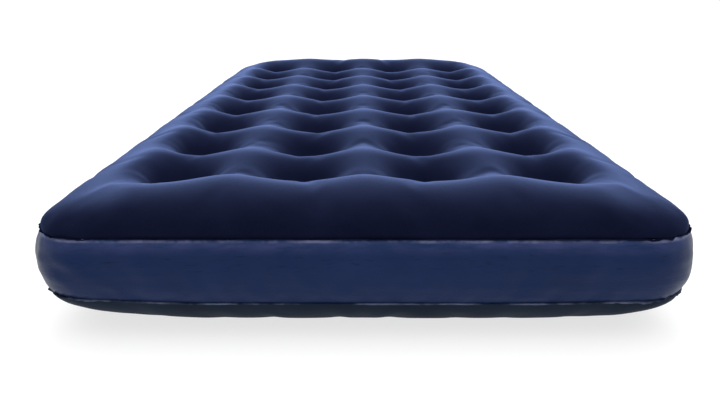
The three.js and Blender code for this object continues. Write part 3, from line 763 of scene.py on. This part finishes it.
def valve_insert(material):
    """The ribbed insert: its skirt over the neck, its floor with the port, and the flap's hinge posts."""
    profile = [
        (PORT_INNER, 3.0), (16.7, 3.0), (16.7, 12.8), (INSERT_INNER, 12.8), (INSERT_INNER, 3.6),
        (INSERT_OUTER, 3.6), (INSERT_OUTER, 4.6), (23.6, 4.6), (23.6, 7.2), (INSERT_OUTER, 7.2),
        (INSERT_OUTER, 8.0), (INSERT_OUTER, 9.0), (INSERT_OUTER, 12.4), (INSERT_OUTER, 13.4),
        (INSERT_OUTER, INSERT_HIGH), (15.2, INSERT_HIGH), (15.2, 4.4),
        (PORT_OUTER, 4.4), (PORT_OUTER, PORT_HIGH), (PORT_INNER, PORT_HIGH),
    ]
    ribs = grip_ribs(48, 0.35, 7.9, 13.6)

    def outside_only(angle, radius, height):
        return ribs(angle, radius, height) if radius > INSERT_INNER + 1 else 0

    shells = [
        turned(filleted(profile, FILLET), outside_only),
        thread(PORT_OUTER - 0.2, PORT_OUTER + 0.9, 4.9),
        thread(INSERT_INNER + 0.2, NECK_OUTER + 0.6, 4.6 + THREAD_PITCH / 2),
        rounded_bar((2 * PORT_INNER + 1, 1.5, 1.2), (0, 0, 3.7), 0.3),
        rounded_bar((1.5, 2 * PORT_INNER + 1, 1.2), (0, 0, 3.7), 0.3, along=1),
    ]
    shells += [rounded_bar((1.6, 3.4, 4), (x, FLAP_HINGE[1], 1.2), 0.4, along=2) for x in (-5, 5)]
    crisp_piece("valve_insert_body", shells, "valve_insert", material, "insert")


def insert_collar(material):
    """The loose ring in the insert's groove, with the tab that its strap grows from."""
    profile = filleted([(23.9, 4.9), (26.4, 4.9), (26.4, 6.9), (23.9, 6.9)], 0.5)
    shells = [turned(profile), rounded_bar((2.6, INSERT_STRAP_WIDTH, 1.8), (27, 0, 5.9), 0.4, along=1)]
    crisp_piece("insert_collar_ring", shells, "insert_collar", material, "insert_lift")


def insert_strap(material):
    """The arched strap from the collar's tab down to its stud on the patch."""
    arch = [  # (distance from the axis, height)
        (28.5, 5.9), (29.6, 6.1), (30.8, 7.6), (32.8, 8.4), (34.8, 7.6),
        (36.2, 5), (37.4, 2.7), (39, 2.4), (46, 2.4),
    ]
    path = smooth_path([(x, 0, z) for x, z in arch], 64)
    across = np.tile((0.0, 1.0, 0.0), (len(path), 1))
    band = ribbon(path, across, INSERT_STRAP_WIDTH, STRAP)
    piece = shell_piece("insert_strap_band", [band], "insert_strap", material)
    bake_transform(piece)


def stud(name, low, x, y, node, body, material):
    """A headed stud through the end of a strap, standing at (x, y) on the height low."""
    head = low + STRAP + 0.6
    profile = [(0, low), (1.3, low), (1.3, head), (3, head), (3, head + 0.5), (2.2, head + 1), (0, head + 1)]
    vertices, faces = turned(filleted(profile, 0.3))
    moved = [(a + x, b + y, c) for a, b, c in vertices]
    crisp_piece(name, [(moved, faces)], node, material, body)


def on_hinge(profile):
    """A closed outline turned about the flap's hinge line."""
    vertices, faces = turned(filleted(profile, 0.2))
    return [(c, FLAP_HINGE[1] + a, FLAP_HINGE[2] + b) for a, b, c in vertices], faces


def check_flap(material):
    """The flap's disc, its arm and the knuckle round its hinge pin."""
    disc = filleted([(0, 1.5), (9.4, 1.5), (9.4, 2.5), (7.6, 2.5), (7.2, 2.3), (0, 2.3)], 0.3)
    arm = rounded_bar((7.6, 4, 1), (0, FLAP_HINGE[1] + 2.4, 2), 0.3)
    knuckle = on_hinge([(1, -3.8), (1.7, -3.8), (1.7, 3.8), (1, 3.8)])
    shells = [turned(disc), arm, knuckle]
    crisp_piece("check_flap_disc", shells, "check_flap", material, "flap")


def flap_hinge_pin(material):
    pin = on_hinge([(0, -6.2), (0.6, -6.2), (0.6, 6.2), (0, 6.2)])
    crisp_piece("flap_pin", [pin], "flap_hinge_pin", material, "insert")


def valve_cap(material):
    """The cap: its skirt with the inside thread, the groove for its collar, and a grip bar on top."""
    profile = [
        (0, 12.6), (CAP_INNER, 12.6), (CAP_INNER, 5.0), (CAP_OUTER, 5.0), (CAP_OUTER, 10.6),
        (12.4, 10.6), (12.4, 12.8), (CAP_OUTER, 12.8), (CAP_OUTER, 14.0), (12.6, CAP_HIGH),
        (11.2, CAP_HIGH), (10.6, 14.2), (0, 14.2),
    ]
    shells = [
        turned(filleted(profile, FILLET)),
        rounded_bar((21, 3.4, 4.8), (0, 0, 16.4), 0.9),
        thread(CAP_INNER + 0.2, PORT_OUTER + 0.5, 4.9 + THREAD_PITCH / 2),
    ]
    crisp_piece("valve_cap_body", shells, "valve_cap", material, "cap")


def cap_seal(material):
    profile = filleted([(5, 10.9), (10, 10.9), (10, 12.3), (5, 12.3)], 0.4)
    crisp_piece("cap_seal_washer", [turned(profile)], "cap_seal", material, "cap")


def cap_collar(material):
    """The loose ring round the cap, with a riser that its strap grows from."""
    ring = filleted([(12.7, 10.9), (14.8, 10.9), (14.8, 12.5), (12.7, 12.5)], 0.4)
    riser = filleted([(13.8, 11.1), (14.8, 11.1), (14.8, 15.8), (13.8, 15.8)], 0.3)
    shells = [turned(ring), turned(riser, None, -14, 14)]
    crisp_piece("cap_collar_ring", shells, "cap_collar", material, "cap_lift")


def cap_strap(material):
    """The curved strap on the insert's rim, from the collar's riser round to its stud."""
    level = INSERT_HIGH + STRAP_GAP + STRAP / 2
    angles = np.radians(np.linspace(*CAP_STRAP_ANGLES, 90))
    across = np.column_stack([np.cos(angles), np.sin(angles), np.zeros(len(angles))])
    path = CAP_STRAP_RADIUS * across + (0, 0, level)
    bridge = rounded_bar((4.8, CAP_STRAP_WIDTH, STRAP - BRIDGE_THINNING), (17.3, 0, level), 0.3)
    shells = [ribbon(path, across, CAP_STRAP_WIDTH, STRAP), bridge]
    piece = shell_piece("cap_strap_band", shells, "cap_strap", material)
    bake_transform(piece)


def valve(plastic, rubber, vinyl):
    """Every piece of the valve, from the patch outwards."""
    valve_patch(vinyl)
    valve_base(plastic)
    base_gasket(rubber)
    valve_insert(plastic)
    insert_collar(plastic)
    insert_strap(plastic)
    stud("patch_stud", 1.4, STUD_X, 0, "insert_strap_stud", "mattress", plastic)
    check_flap(rubber)
    flap_hinge_pin(plastic)
    valve_cap(plastic)
    cap_seal(rubber)
    cap_collar(plastic)
    cap_strap(plastic)
    place = CAP_STUD_RADIUS * math.cos(CAP_STUD_ANGLE), CAP_STUD_RADIUS * math.sin(CAP_STUD_ANGLE)
    stud("rim_stud", INSERT_HIGH + STRAP_GAP, *place, "cap_strap_stud", "insert", plastic)


# ---------------------------------------------------------------- coils and the lap weld


def coil_profile(low, high):
    """A coil's outline from its lower flange to its upper one, waisted, with rows at the vents' edges."""
    centre = (low + high) / 2
    vent_low, vent_high = centre - VENT_HALF_HEIGHT, centre + VENT_HALF_HEIGHT
    below = np.linspace(low, vent_low, 9)
    beside = np.linspace(vent_low, vent_high, 7)[1:-1]
    above = np.linspace(vent_high, high, 9)
    heights = [*below, *beside, *above]
    waist = [COIL_WAIST * (1 - (2 * (height - centre) / (high - low)) ** 2) for height in heights]
    flange = DISC_RADIUS + COIL_FLANGE
    return [(flange, low), *((DISC_RADIUS - w, height) for w, height in zip(waist, heights)), (flange, high)]


def coil_piece(row, column, low, high, material):
    """One air coil: a tube with two oval vents, and a flange at each end that is welded to a sheet."""
    name = coil_name(row, column)
    centre_x, centre_y = COILS[row * COLUMNS + column]
    step = 2 * math.pi / COIL_SIDES
    profile = coil_profile(low, high)
    vertices, inside_vent = [], []
    for radius, height in profile:
        for side in range(COIL_SIDES):
            across = ((side + COIL_SIDES // 4) % (COIL_SIDES // 2) - COIL_SIDES // 4) / VENT_STEPS
            up = (height - (low + high) / 2) / VENT_HALF_HEIGHT
            reach = max(abs(across), abs(up))
            pull = 1 / math.hypot(across, up) - 1 if abs(reach - 1) < 1e-6 else 0
            angle = step * (side + across * VENT_STEPS * pull)
            bent = height + up * VENT_HALF_HEIGHT * pull
            vertices.append((centre_x + radius * math.cos(angle), centre_y + radius * math.sin(angle), bent))
            inside_vent.append(reach <= 1 + 1e-6)
    faces = []
    for ring in range(len(profile) - 1):
        for side in range(COIL_SIDES):
            beside = (side + 1) % COIL_SIDES
            corners = [ring * COIL_SIDES + side, ring * COIL_SIDES + beside]
            corners += [corners[1] + COIL_SIDES, corners[0] + COIL_SIDES]
            if not all(inside_vent[corner] for corner in corners):
                faces.append(corners)
    used, renumbered = np.unique(np.array(faces), return_inverse=True)
    tube = f"coil_tube_r{row + 1}_c{column + 1}"
    piece = mesh_object(tube, np.array(vertices)[used], renumbered.reshape(-1, 4))
    piece.data.materials.append(material)
    thickness = piece.modifiers.new("thickness", "SOLIDIFY")
    thickness.thickness = COIL_WALL
    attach(piece, "mattress")
    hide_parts(name)


def coils(material):
    low = BOTTOM_LEVEL + disc_depth(BOTTOM_BOWL, BOTTOM_PIT) + COIL_CLEARANCE
    high = TOP_LEVEL - disc_depth(TOP_BOWL, TOP_PIT) - COIL_CLEARANCE
    for row in range(ROWS):
        for column in range(COLUMNS):
            coil_piece(row, column, low, high, material)


def lap_weld(wall, material):
    """The strip over the wall's two ends, lying on the wall from seam to seam."""
    mesh = wall.data
    surface = BVHTree.FromPolygons([v.co for v in mesh.vertices], [tuple(p.vertices) for p in mesh.polygons])
    low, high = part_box("side_wall_lap_weld")
    sections = []
    for height in np.linspace(BOTTOM_SEAM_Z + LAP_INSET, TOP_SEAM_Z - LAP_INSET, 50):
        outer, inner = [], []
        for share in np.linspace(-1, 1, 13):
            x = (low.x + high.x) / 2 + share * (high.x - low.x) / 2
            hit = surface.ray_cast(Vector((x, 2 * WALL_FACE_Y, height)), Vector((0, -1, 0)))[0]
            raised = LAP_RAISED * (1 - share**8) + LAP_RIPPLE * math.cos(share * 9.4)
            outer.append((x, hit.y + raised, height))
            inner.append((x, hit.y + LAP_GAP, height))
        sections.append(outer + inner[::-1])
    strip = looped(sections, False)
    piece = shell_piece("lap_weld_strip", [strip], "side_wall_lap_weld", material, place=tuple)
    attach(piece, "mattress")


def seated_valve(points, quads):
    """The wall drawn flat under the valve's patch, with the hole that the valve's neck goes through."""
    across, up = (points[:, 0] - VALVE_X) / MM, (points[:, 2] - VALVE_Z) / MM
    beyond = np.hypot(np.maximum(np.abs(across) - PATCH_HALF, 0), up) - PATCH_RADIUS
    at_head = points[:, 1] > 0
    flat = (1 - smooth_step(beyond, 0, PATCH_FADE)) * at_head
    seated = points.copy()
    seated[:, 1] += (WALL_FACE_Y - points[:, 1]) * flat
    radius = np.hypot(across, up)
    hole = NECK_OUTER + WALL_CLEARANCE
    inside = at_head & (radius < hole)
    grow = np.where(inside, hole / np.maximum(radius, 1e-6), 1)
    seated[:, 0] = VALVE_X + across * grow * MM
    seated[:, 2] = VALVE_Z + up * grow * MM
    kept = quads[~inside[quads].all(axis=1)]
    used, renumbered = np.unique(kept, return_inverse=True)
    return seated[used], renumbered.reshape(-1, 4)


# ---------------------------------------------------------------- materials


def colour_ramp(nodes, links, value, stops):
    """A ramp node through (position, colour) stops, fed by a value."""
    ramp = nodes.new("ShaderNodeValToRGB")
    elements = ramp.color_ramp.elements
    while len(elements) < len(stops):
        elements.new(0.5)
    for element, (position, colour) in zip(elements, stops):
        element.position = position
        element.color = (*colour, 1)
    links.new(value, ramp.inputs["Fac"])
    return ramp


class Paint:
    """A Principled material with a few node helpers. Textures use the object's own coordinates."""

    def __init__(self, name, **sockets):
        self.material = bpy.data.materials.new(name)
        self.material.use_nodes = True
        self.nodes = self.material.node_tree.nodes
        self.links = self.material.node_tree.links
        self.shader = self.nodes["Principled BSDF"]
        for socket, value in sockets.items():
            self.shader.inputs[socket.replace("_", " ")].default_value = value
        self.place = self.nodes.new("ShaderNodeTexCoord").outputs["Object"]
        self.bump_normal = None

    def stretched(self, x, y, z):
        mapping = self.nodes.new("ShaderNodeMapping")
        mapping.inputs["Scale"].default_value = (x, y, z)
        self.links.new(self.place, mapping.inputs["Vector"])
        return mapping.outputs["Vector"]

    def noise(self, scale, detail=3, roughness=0.55, distortion=0, place=None):
        texture = self.nodes.new("ShaderNodeTexNoise")
        texture.inputs["Scale"].default_value = scale
        texture.inputs["Detail"].default_value = detail
        texture.inputs["Roughness"].default_value = roughness
        texture.inputs["Distortion"].default_value = distortion
        self.links.new(place or self.place, texture.inputs["Vector"])
        return texture.outputs["Fac"]

    def ramp(self, value, *stops):
        return colour_ramp(self.nodes, self.links, value, stops).outputs["Color"]

    def mix(self, share, first, second):
        mixer = self.nodes.new("ShaderNodeMix")
        mixer.data_type = "RGBA"
        self.links.new(share, mixer.inputs["Factor"])
        self.links.new(first, mixer.inputs["A"])
        self.links.new(second, mixer.inputs["B"])
        return mixer.outputs["Result"]

    def remap(self, value, low, high):
        mapper = self.nodes.new("ShaderNodeMapRange")
        mapper.inputs["To Min"].default_value = low
        mapper.inputs["To Max"].default_value = high
        self.links.new(value, mapper.inputs["Value"])
        return mapper.outputs["Result"]

    def rising(self, low, high):
        """0 below the height low, rising to 1 at the height high."""
        split = self.nodes.new("ShaderNodeSeparateXYZ")
        self.links.new(self.place, split.inputs["Vector"])
        mapper = self.nodes.new("ShaderNodeMapRange")
        mapper.interpolation_type = "SMOOTHSTEP"
        mapper.inputs["From Min"].default_value = low
        mapper.inputs["From Max"].default_value = high
        self.links.new(split.outputs["Z"], mapper.inputs["Value"])
        return mapper.outputs["Result"]

    def bump(self, height, strength, distance):
        bump = self.nodes.new("ShaderNodeBump")
        bump.inputs["Strength"].default_value = strength
        bump.inputs["Distance"].default_value = distance
        self.links.new(height, bump.inputs["Height"])
        if self.bump_normal:
            self.links.new(self.bump_normal, bump.inputs["Normal"])
        self.bump_normal = bump.outputs["Normal"]
        self.links.new(self.bump_normal, self.shader.inputs["Normal"])

    def set(self, socket, value):
        self.links.new(value, self.shader.inputs[socket])


def floor_material():
    """Pale, and faintly lit from within, as a light table is, so that shadows on it stay soft."""
    paint = Paint(
        "floor",
        Base_Color=(0.32, 0.32, 0.32, 1),
        Roughness=0.9,
        Specular_IOR_Level=0,
        Emission_Color=(1, 1, 1, 1),
        Emission_Strength=0.72,
    )
    return paint.material


def flock_material():
    """Short navy pile: dark seen straight on, and paler at a grazing angle. Its sheen is painted weaker low
    down, as painted shade near the seam and in the dimples.
    """
    paint = Paint(
        "flocked_top",
        Roughness=0.9,
        Specular_IOR_Level=0,
        Sheen_Roughness=0.37,
        Sheen_Tint=(0.32, 0.46, 1, 1),
    )
    brushed = paint.ramp(
        paint.noise(14, 4, 0.6, 0.4),
        (0.35, (0.0037, 0.0049, 0.0155)), (0.65, (0.0060, 0.0079, 0.0240)),
    )
    fibres = paint.ramp(
        paint.noise(900, 2, 0.7),
        (0.3, (0.0026, 0.0034, 0.0105)), (0.7, (0.0074, 0.0098, 0.0310)),
    )
    paint.set("Base Color", paint.mix(paint.noise(320, 1), brushed, fibres))
    # Painted shade: the sheen weight falls with height, so the roll's front, the sides near the seam and the
    # dimples' hollows render darker than the pile alone would.
    paint.set("Sheen Weight", paint.remap(paint.rising(TOP_SEAM_Z + 0.016, TOP_LEVEL - 0.008), 0.17, 1.24))
    paint.bump(paint.noise(1100, 2, 0.8), 0.35, 0.0004)
    paint.bump(paint.noise(60, 3, 0.6, 0.6), 0.15, 0.0012)
    return paint.material


def wall_material():
    """Satin vinyl with fine creases that run along the wall. It has a painted reflection in a paler band
    below the top seam, and a thin painted highlight line just under the seam.
    """
    paint = Paint("wall_vinyl", Specular_IOR_Level=0.12, Specular_Tint=(0.45, 0.55, 0.85, 1))
    tone = paint.ramp(
        paint.noise(7, 3, 0.5),
        (0.3, (0.0075, 0.0160, 0.054)), (0.7, (0.0098, 0.0202, 0.067)),
    )
    # Painted reflection: a paler, bluer band that stands in for overhead light reflected by the wall's
    # upward-tilted top.
    painted_reflection = paint.ramp(
        paint.noise(1, 4, 0.6, 0.3, paint.stretched(16, 16, 60)),
        (0.35, (0.012, 0.028, 0.084)), (0.68, (0.048, 0.056, 0.150)),
    )
    # Where the painted reflection shows: fading in from 26 mm below the top seam up to it.
    upper = paint.rising(TOP_SEAM_Z - 0.026, TOP_SEAM_Z + 0.002)
    # Painted highlight: a thin pale line just under the top seam, where light catches the top of the wall.
    rim = paint.ramp(
        paint.noise(14, 4, 0.7),
        (0.42, (0.024, 0.040, 0.105)), (0.60, (0.130, 0.145, 0.260)),
    )
    highlight_line_mask = paint.rising(TOP_SEAM_Z - 0.0065, TOP_SEAM_Z - 0.0030)
    scratches = paint.ramp(
        paint.noise(1, 3, 0.6, 0.1, paint.stretched(48, 48, 640)),
        (0.60, (0, 0, 0)), (0.66, (1, 1, 1)),
    )
    dark = paint.ramp(paint.noise(30), (0.3, (0.0042, 0.0088, 0.030)), (0.7, (0.0058, 0.0120, 0.040)))
    scratched = paint.mix(scratches, tone, dark)
    worn = paint.mix(paint.rising(VALVE_Z - 0.004, VALVE_Z + 0.012), tone, scratched)
    paint.set("Base Color", paint.mix(highlight_line_mask, paint.mix(upper, worn, painted_reflection), rim))
    paint.set("Roughness", paint.remap(paint.noise(45, 3), 0.32, 0.46))
    paint.bump(paint.noise(1.0, 4, 0.65, 0.2, paint.stretched(22, 22, 190)), 0.25, 0.0012)
    paint.bump(scratches, 0.35, 0.0006)
    paint.bump(paint.noise(1500, 1), 0.06, 0.0002)
    return paint.material


def bottom_material():
    """The greyer, lightly grained vinyl of the underside."""
    paint = Paint(
        "bottom_vinyl",
        Roughness=0.6,
        Specular_IOR_Level=0.05,
        Specular_Tint=(0.5, 0.65, 0.9, 1),
    )
    tone = paint.ramp(
        paint.noise(9, 3),
        (0.3, (0.0062, 0.0112, 0.022)), (0.7, (0.0092, 0.0160, 0.031)),
    )
    paint.set("Base Color", tone)
    paint.bump(paint.noise(420, 2, 0.6), 0.3, 0.0005)
    return paint.material


def margin_material(name, colour, paler):
    """The trimmed edge of a weld: dull, with random paler patches. On the bottom margin the paler colour is
    partly the vinyl's own and partly a painted highlight along the bottom seam.
    """
    paint = Paint(name, Roughness=0.7, Specular_IOR_Level=0)
    paint.set("Base Color", paint.ramp(paint.noise(12, 4, 0.7), (0.40, colour), (0.60, paler)))
    paint.bump(paint.noise(500, 2), 0.2, 0.0003)
    return paint.material


def plain_vinyl(name, colour, roughness):
    """Vinyl of one colour, a fifth darker and lighter from place to place."""
    paint = Paint(name, Roughness=roughness, Specular_IOR_Level=0.35)
    darker = tuple(0.8 * c for c in colour)
    lighter = tuple(1.2 * c for c in colour)
    paint.set("Base Color", paint.ramp(paint.noise(30, 3), (0.3, darker), (0.7, lighter)))
    paint.bump(paint.noise(700, 2), 0.12, 0.0003)
    return paint.material


def valve_plastic():
    """Moulded slate-blue plastic with a fine matt grain, a little paler where it is handled."""
    paint = Paint("valve_plastic", Specular_IOR_Level=0.4)
    tone = paint.ramp(paint.noise(60, 3), (0.3, (0.016, 0.021, 0.042)), (0.7, (0.026, 0.033, 0.060)))
    paint.set("Base Color", tone)
    paint.set("Roughness", paint.remap(paint.noise(130, 3), 0.34, 0.52))
    paint.bump(paint.noise(2600, 2, 0.6), 0.18, 0.0001)
    return paint.material


def seal_rubber():
    """Soft dark rubber, duller than the plastic."""
    paint = Paint("seal_rubber", Roughness=0.7, Specular_IOR_Level=0.25)
    tone = paint.ramp(paint.noise(90, 3), (0.3, (0.008, 0.008, 0.009)), (0.7, (0.016, 0.016, 0.018)))
    paint.set("Base Color", tone)
    paint.bump(paint.noise(1800, 2), 0.15, 0.0001)
    return paint.material


# ---------------------------------------------------------------- stage


def camera():
    data = bpy.data.cameras.new("camera")
    data.sensor_width = 36
    data.lens = CAMERA_LENS
    eye = bpy.data.objects.new("camera", data)
    eye.location = CAMERA_PLACE
    eye.rotation_euler = (math.radians(90 - CAMERA_TILT), 0, math.radians(CAMERA_TURN))
    bpy.context.scene.collection.objects.link(eye)
    bpy.context.scene.camera = eye


def area_light(name, place, target, size, power):
    data = bpy.data.lights.new(name, "AREA")
    data.shape = "RECTANGLE"
    data.size, data.size_y = size
    data.energy = power
    light = bpy.data.objects.new(name, data)
    light.location = place
    light.rotation_euler = (Vector(target) - Vector(place)).to_track_quat("-Z", "Y").to_euler()
    bpy.context.scene.collection.objects.link(light)


def studio_sky():
    """A world with a bright zenith, a pale horizon, and dimmer air between them."""
    world = bpy.data.worlds.new("studio")
    world.use_nodes = True
    nodes, links = world.node_tree.nodes, world.node_tree.links
    split = nodes.new("ShaderNodeSeparateXYZ")
    links.new(nodes.new("ShaderNodeTexCoord").outputs["Generated"], split.inputs["Vector"])
    greys = [(rise, [brightness] * 3) for rise, brightness in SKY]
    ramp = colour_ramp(nodes, links, split.outputs["Z"], greys)
    ramp.color_ramp.interpolation = "EASE"
    links.new(ramp.outputs["Color"], nodes["Background"].inputs["Color"])
    nodes["Background"].inputs["Strength"].default_value = SKY_STRENGTH
    bpy.context.scene.world = world


def stage():
    """The floor, the sky and one soft lamp."""
    half = FLOOR_SIZE / 2
    corners = [(-half, -half, FLOOR_Z), (half, -half, FLOOR_Z), (half, half, FLOOR_Z), (-half, half, FLOOR_Z)]
    floor = mesh_object("floor", corners, [(0, 1, 2, 3)])
    floor.data.materials.append(floor_material())
    studio_sky()
    area_light("overhead", LAMP_PLACE, LAMP_TARGET, LAMP_SIZE, LAMP_POWER)


# ---------------------------------------------------------------- build

camera()
stage()
bpy.context.scene.view_settings.view_transform = "Standard"

sheets, top_seam, bottom_seam = envelope()
sheet_object("top_sheet_flocked", *sheets["top"], "top_sheet", flock_material(), puckered_top, 1)
wall_vinyl = wall_material()
wall_piece = sheet_object("side_wall_vinyl", *sheets["wall"], "side_wall", wall_vinyl, puckered_wall, 2)
sheet_object("bottom_sheet_vinyl", *sheets["bottom"], "bottom_sheet", bottom_material(), puckered_bottom, 1)
top_edge = margin_material("top_margin", (0.003, 0.004, 0.013), (0.006, 0.008, 0.025))
# Painted highlight, in part: the bottom margin's pale colour stands in for light caught along the bottom
# seam's drooping edge.
bottom_edge = margin_material("bottom_margin", (0.012, 0.018, 0.036), (0.100, 0.118, 0.180))
seam_margin("top_seam_margin", top_seam, "top_weld_margin", 0, top_edge)
seam_margin("bottom_seam_margin", bottom_seam, "bottom_weld_margin", BOTTOM_MARGIN_DROOP, bottom_edge)

coils(plain_vinyl("coil_vinyl", (0.04, 0.06, 0.14), 0.5))
lap_weld(wall_piece, wall_vinyl)
valve(valve_plastic(), seal_rubber(), wall_vinyl)
